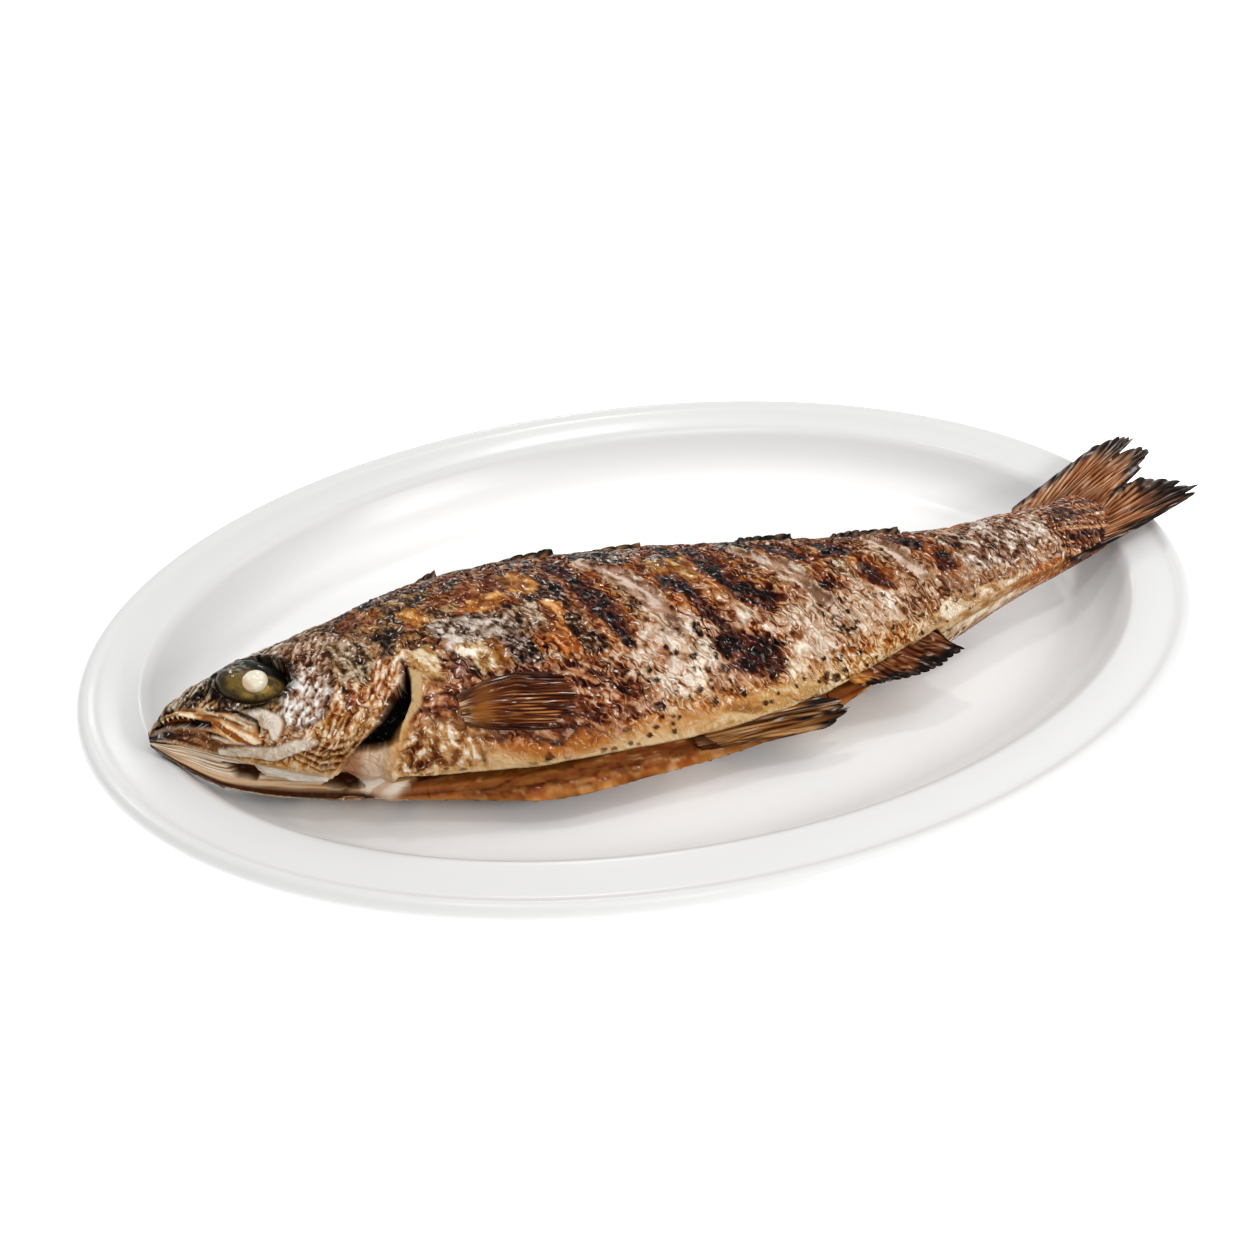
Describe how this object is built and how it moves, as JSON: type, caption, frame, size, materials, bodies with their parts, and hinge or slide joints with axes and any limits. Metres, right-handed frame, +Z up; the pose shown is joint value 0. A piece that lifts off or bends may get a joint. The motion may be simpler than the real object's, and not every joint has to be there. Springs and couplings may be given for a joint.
{
  "type": "whole grilled fish on a platter",
  "caption": "Whole grilled fish with head, fins and tail, lying on its side along an oval white porcelain platter.",
  "frame": {"origin": "under the middle of the whole object, on the surface that the platter stands on", "axes": "+X along the platter's length towards the fish's tail, +Y towards the fish's back, +Z up"},
  "size_m": [0.3732, 0.244, 0.0578],
  "materials": {
    "porcelain": "smooth clear glaze over white porcelain",
    "grilled_skin": "oily grilled fish skin, browned and silvery, charred in stripes",
    "eye_jelly": "wet clouded jelly",
    "cooked_lens": "smooth opaque ivory, moist"
  },
  "bodies": {
    "root": {"plate": "porcelain", "fish": "grilled_skin", "eyeball_left": "eye_jelly", "eyeball_right": "eye_jelly", "eye_lens_left": "cooked_lens", "eye_lens_right": "cooked_lens"}
  },
  "joints": []
}
